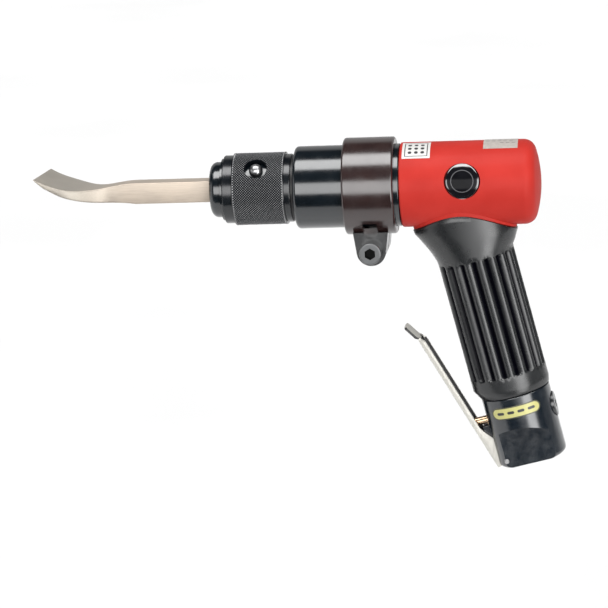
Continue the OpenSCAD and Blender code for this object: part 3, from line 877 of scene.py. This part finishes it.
def lever_point(forward, across, height):
    """Places a point of the lever, bending its lip forward and squaring off its foot."""
    up = height
    if height < 0:
        front = lerp(-FOOT_CUT, 0, (height + BOSS_R) / BOSS_R)
        up = lerp(height, front, clamp01(forward / LEVER_FACE))
    beyond = height - LIP_START
    if beyond > 0:
        from_face = forward - LEVER_FACE
        forward = LEVER_FACE + beyond * math.sin(LIP_BEND) + from_face * math.cos(LIP_BEND)
        up = LIP_START + beyond * math.cos(LIP_BEND) - from_face * math.sin(LIP_BEND)
    fore = PIVOT_FORE + up * math.sin(LEVER_OPEN) + forward * math.cos(LEVER_OPEN)
    drop = PIVOT_DROP - up * math.cos(LEVER_OPEN) + forward * math.sin(LEVER_OPEN)
    return handle_point(fore, across, drop)


def pivot_cutter():
    """A round bar through both flanges."""
    columns, reach = 40, 12
    verts = []
    for side in (-reach, reach):
        for k in range(columns):
            a = math.tau * k / columns
            fore, drop = PIVOT_HOLE_R * math.cos(a), PIVOT_HOLE_R * math.sin(a)
            verts.append(handle_point(PIVOT_FORE + fore, side, PIVOT_DROP + drop))
    return verts, loop_faces(2, columns) + end_caps(len(verts), columns)


def lever_shaded_faces(face):
    """True for the faces painted in shade: those in the hollow of the folded sheet, and the side edges of
    the lip.
    """
    place = (face.center - HUB) / MM
    fore, drop = place.dot(FORE) - PIVOT_FORE, place.dot(DOWN) - PIVOT_DROP
    forward = fore * math.cos(LEVER_OPEN) + drop * math.sin(LEVER_OPEN)
    height = fore * math.sin(LEVER_OPEN) - drop * math.cos(LEVER_OPEN)
    if height > LIP_START + 1:
        return abs(face.normal.y) > 0.6
    if abs(place.y) > LEVER_HALF - SHEET + 0.1:
        return False
    in_flange = abs(face.normal.y) > 0.7
    in_face = forward < LEVER_FACE - SHEET + 0.1
    return in_flange or in_face


def build_lever():
    foot = [-2.9, -2.75, -2.4, -1.8, -1, 0, 3, 6, 9, 11, 13, 15, 17.5, 20, 22, 24]
    blade = [34, 44, 54, 64, 74, 82, 85.5, 86.5, 87.3, 88, 88.7, 89.5, 90.5, 93, 96]
    tip = [LIP_END - LIP_CORNER * (1 - math.sin(math.pi / 2 * k / 6)) for k in range(7)]
    heights = foot + blade + tip
    rings = [[lever_point(x, y, height) for x, y in lever_ring(height)] for height in heights]
    columns = len(rings[0])
    faces = loop_faces(len(rings), columns)
    for start in (0, (len(rings) - 1) * columns):
        for j in range(columns // 2 - 1):
            outer, inner = start + j, start + columns - 1 - j
            faces.append((outer, outer + 1, inner - 1, inner))
    verts = [v for ring in rings for v in ring]
    lever = add_piece(
        "folded_lever", verts, faces, "lever_arm", ["lever"], "bright_plate", cutters=[pivot_cutter()]
    )
    # painted shade on the hollow of the sheet and the lip's side edges
    use_second_material(lever, MATERIALS["plate_painted_shade"], lever_shaded_faces)
    smooth_by_angle(lever, 35)


build_lever()

# ---------------------------------------------------------------- throttle spring

SPRING_R = 3.9
WIRE_R = 0.38
SPRING_REAR = -16
SPRING_PITCH = 1.6
SPRING_TURNS = 4.5


def build_spring():
    """The coil spring behind the throttle valve."""
    steps_per_turn, columns = 24, 8
    verts = []
    for i in range(int(SPRING_TURNS * steps_per_turn) + 1):
        turn = math.tau * i / steps_per_turn
        middle = SPRING_REAR + WIRE_R + SPRING_PITCH * i / steps_per_turn
        for j in range(columns):
            a = math.tau * j / columns
            reach = SPRING_R + WIRE_R * math.cos(a)
            fore = middle + WIRE_R * math.sin(a)
            verts.append(handle_point(fore, reach * math.cos(turn), THROTTLE_DROP + reach * math.sin(turn)))
    faces = loop_faces(len(verts) // columns, columns) + end_caps(len(verts), columns)
    spring = add_piece("coil_spring", verts, faces, "tool_body", ["throttle_spring"], "tool_steel")
    smooth_by_angle(spring, 60)
    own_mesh(spring)


build_spring()

# ---------------------------------------------------------------- chisel

SHANK_W = 12.7
SHANK_ROUND = 1.1
TAIL_U = 66.2
TAIL_TAPER = 0.96
NOTCH = (103.3, 120.7)
NOTCH_FLOOR = 6.2
EDGE_U = 246.7
FORGE_U = EDGE_U - 56.5
FLARE_U = EDGE_U - 42.5
FLARE_LEN = 29
DIP_U = EDGE_U - 31.5
DIP = 2.65
DIP_LEN = 25
UPTURN = 0.0086
BLADE_W = 37
BEVEL_U = EDGE_U - 5
BEVEL_T = 2.6
EDGE_T = 0.4
EDGE_SKEW = 1.65
SKEW_LEN = 35


def blade_top(u):
    """Height of the chisel's upper side: it dips where the forging starts, then turns up to the edge."""
    return SHANK_W / 2 - DIP * smoothstep(0, DIP_LEN, u - FORGE_U) + UPTURN * max(0, u - DIP_U) ** 2


def blade_thickness(u):
    if u > BEVEL_U:
        return lerp(BEVEL_T, EDGE_T, (u - BEVEL_U) / (EDGE_U - BEVEL_U))
    return lerp(SHANK_W, BEVEL_T, clamp01((u - FORGE_U) / (BEVEL_U - FORGE_U)))


def chisel_section(u):
    """Rounded section of the chisel as (height, side) points, and half its width."""
    top, thick = blade_top(u), blade_thickness(u)
    half = lerp(SHANK_W, BLADE_W, smoothstep(0, FLARE_LEN, u - FLARE_U)) / 2
    bend = min(SHANK_ROUND, thick * 0.3)
    points = []
    corner_steps, edge_steps = 5, 6
    corners = [(1, 1), (-1, 1), (-1, -1), (1, -1)]
    for quarter, (along_side, along_top) in enumerate(corners):
        for step in range(corner_steps + 1):
            a = math.pi / 2 * (quarter + step / corner_steps)
            y = along_side * (half - bend) + bend * math.cos(a)
            z = top - thick / 2 + along_top * (thick / 2 - bend) + bend * math.sin(a)
            points.append((z, y))
        if quarter % 2 == 0:
            z, start_y = points[-1]
            points += [(z, lerp(start_y, -start_y, k / edge_steps)) for k in range(1, edge_steps)]
    return points, half


def notched(height, side, u):
    """Keeps a point under the floor of the lock notch, which faces the port."""
    if NOTCH[0] < u < NOTCH[1]:
        outward = height * math.sin(PORT_ANGLE) - side * math.cos(PORT_ANGLE)
        over = max(0.0, outward - NOTCH_FLOOR)
        height -= over * math.sin(PORT_ANGLE)
        side += over * math.cos(PORT_ANGLE)
    return height, side


def chisel_stations():
    """Where along the tool the chisel has a ring of points; the forged part has them close together."""
    pitch = 0.75
    notch = [NOTCH[0], NOTCH[0] + 0.01, 108, 116, NOTCH[1] - 0.01, NOTCH[1]]
    shank = [TAIL_U, TAIL_U + 0.4, 85] + notch + [135, 160, FORGE_U]
    forged = [FORGE_U + pitch * k for k in range(1, int((BEVEL_U - FORGE_U) / pitch))]
    return shank + forged + [BEVEL_U, BEVEL_U + 1.7, BEVEL_U + 3.4, EDGE_U]


def build_chisel():
    verts = []
    stations = chisel_stations()
    for u in stations:
        points, half = chisel_section(u)
        skew = EDGE_SKEW * smoothstep(0, SKEW_LEN, u - FLARE_U)
        shrink = TAIL_TAPER if u == TAIL_U else 1.0
        for height, side in points:
            height, side = notched(height * shrink, side * shrink, u)
            verts.append(HUB + Vector((-(u - skew * side / half), side, height)) * MM)
    columns = len(points)
    faces = loop_faces(len(stations), columns) + end_caps(len(verts), columns)
    chisel = add_piece("forged_chisel", verts, faces, "chisel_tool", ["chisel"], "satin_steel")
    smooth_by_angle(chisel, 24)


build_chisel()

# ---------------------------------------------------------------- softened edges of cast and milled nodes

EDGE_WIDTHS = {"valve_body": 0.5, "exhaust_collar": 0.35, "collar_screw": 0.3}


def soften_edges(node_name, width):
    edge = nodes[node_name].modifiers.new("edge", "BEVEL")
    edge.width = width * MM
    edge.segments = 2
    edge.angle_limit = math.radians(38)
    edge.harden_normals = True


for softened, edge_width in EDGE_WIDTHS.items():
    soften_edges(softened, edge_width)

# ---------------------------------------------------------------- floor, light and camera

FLOOR_Z = -0.22
FLOOR_NEAR = -0.38
FLOOR_FAR = 6.0
FLOOR_HALF = 5.0


def build_floor():
    mesh = bpy.data.meshes.new("floor")
    bm = bmesh.new()
    left, right = -FLOOR_HALF, FLOOR_HALF
    corners = [(left, FLOOR_NEAR), (right, FLOOR_NEAR), (right, FLOOR_FAR), (left, FLOOR_FAR)]
    bm.faces.new([bm.verts.new((x, y, FLOOR_Z)) for x, y in corners])
    bm.to_mesh(mesh)
    bm.free()
    floor = bpy.data.objects.new("floor", mesh)
    bpy.context.scene.collection.objects.link(floor)
    s = Surface("pale_floor", Roughness=0.8)
    mesh.materials.append(s.paint(Base_Color=s.blend(s.cloud(3, 2), grey(0.70), grey(0.74))))


build_floor()


class World(NodeTree):
    """Soft boxes around the tool, as bright patches in an otherwise dim room."""

    def __init__(self):
        world = bpy.data.worlds.new("studio")
        world.use_nodes = True
        bpy.context.scene.world = world
        self.tree = world.node_tree
        self.back = self.tree.nodes["Background"]
        self.back.inputs["Color"].default_value = rgb(1, 1, 1)
        self.look = self.tree.nodes.new("ShaderNodeTexCoord").outputs["Generated"]
        self.total = 0.0

    def edge(self, value, half, soft):
        """1 within half of zero, fading to 0 over the soft rim."""
        inputs = {"Value": self.math("ABSOLUTE", value), 1: half + soft, 2: half - soft}
        return self.node("ShaderNodeMapRange", inputs, interpolation_type="SMOOTHSTEP").outputs[0]

    def soft_box(self, azimuth, elevation, half_wide, half_high, soft, strength):
        """A glowing rectangle. Azimuth turns from -Y towards +X; sizes are tangents of half angles."""
        a, e = math.radians(azimuth), math.radians(elevation)
        ahead = Vector((math.sin(a) * math.cos(e), -math.cos(a) * math.cos(e), math.sin(e)))
        across = Vector((math.cos(a), math.sin(a), 0))
        upward = across.cross(ahead) * -1
        facing = self.along(self.look, ahead)
        depth = self.math("MAXIMUM", facing, 0.0001)
        wide = self.edge(self.math("DIVIDE", self.along(self.look, across), depth), half_wide, soft)
        high = self.edge(self.math("DIVIDE", self.along(self.look, upward), depth), half_high, soft)
        in_front = self.math("MULTIPLY", self.math("GREATER_THAN", facing, 0.01), strength)
        glow = self.math("MULTIPLY", self.math("MULTIPLY", wide, high), in_front)
        self.total = self.math("ADD", self.total, glow)

    def finish(self, ambient, backdrop):
        """Camera rays see a plain backdrop; everything else sees the soft boxes over the ambient light."""
        lit = self.math("ADD", self.total, ambient)
        seen = self.node("ShaderNodeLightPath").outputs["Is Camera Ray"]
        shown = self.node("ShaderNodeMix", {0: seen, 2: lit, 3: backdrop}, data_type="FLOAT").outputs[0]
        self.tree.links.new(shown, self.back.inputs["Strength"])


studio = World()
studio.soft_box(azimuth=0, elevation=76, half_wide=0.7, half_high=0.28, soft=0.06, strength=6.5)
studio.soft_box(azimuth=-4, elevation=6.5, half_wide=0.5, half_high=0.27, soft=0.06, strength=4.2)
studio.soft_box(azimuth=38, elevation=0, half_wide=0.26, half_high=0.5, soft=0.10, strength=5.5)
studio.soft_box(azimuth=-75, elevation=-5, half_wide=0.4, half_high=0.5, soft=0.2, strength=1.0)
studio.soft_box(azimuth=180, elevation=22, half_wide=1.6, half_high=0.42, soft=0.15, strength=0.55)
studio.finish(ambient=0.03, backdrop=1.0)


CAMERA_TARGET = Vector((-0.132, 0, 0.0969))
CAMERA_DISTANCE = 1.74
CAMERA_LENS = 172.8
CAMERA_SENSOR = 36


def build_camera():
    """Looks at the tool from the viewer's side, a little from behind and from above, tilted a little."""
    azimuth, elevation, roll = math.radians(7.445), math.radians(12.774), math.radians(-2.929)
    flat = math.cos(elevation)
    back = Vector((math.sin(azimuth) * flat, -math.cos(azimuth) * flat, math.sin(elevation)))
    level = (-back).cross(Vector((0, 0, 1))).normalized()
    upright = level.cross(-back)
    right = level * math.cos(roll) + upright * math.sin(roll)
    up = upright * math.cos(roll) - level * math.sin(roll)
    data = bpy.data.cameras.new("camera")
    data.sensor_width = CAMERA_SENSOR
    data.lens = CAMERA_LENS
    camera = bpy.data.objects.new("camera", data)
    turn = Matrix((right, up, back)).transposed()
    camera.matrix_world = Matrix.Translation(CAMERA_TARGET + back * CAMERA_DISTANCE) @ turn.to_4x4()
    bpy.context.scene.collection.objects.link(camera)
    bpy.context.scene.camera = camera


build_camera()
bpy.context.scene.view_settings.view_transform = "Standard"
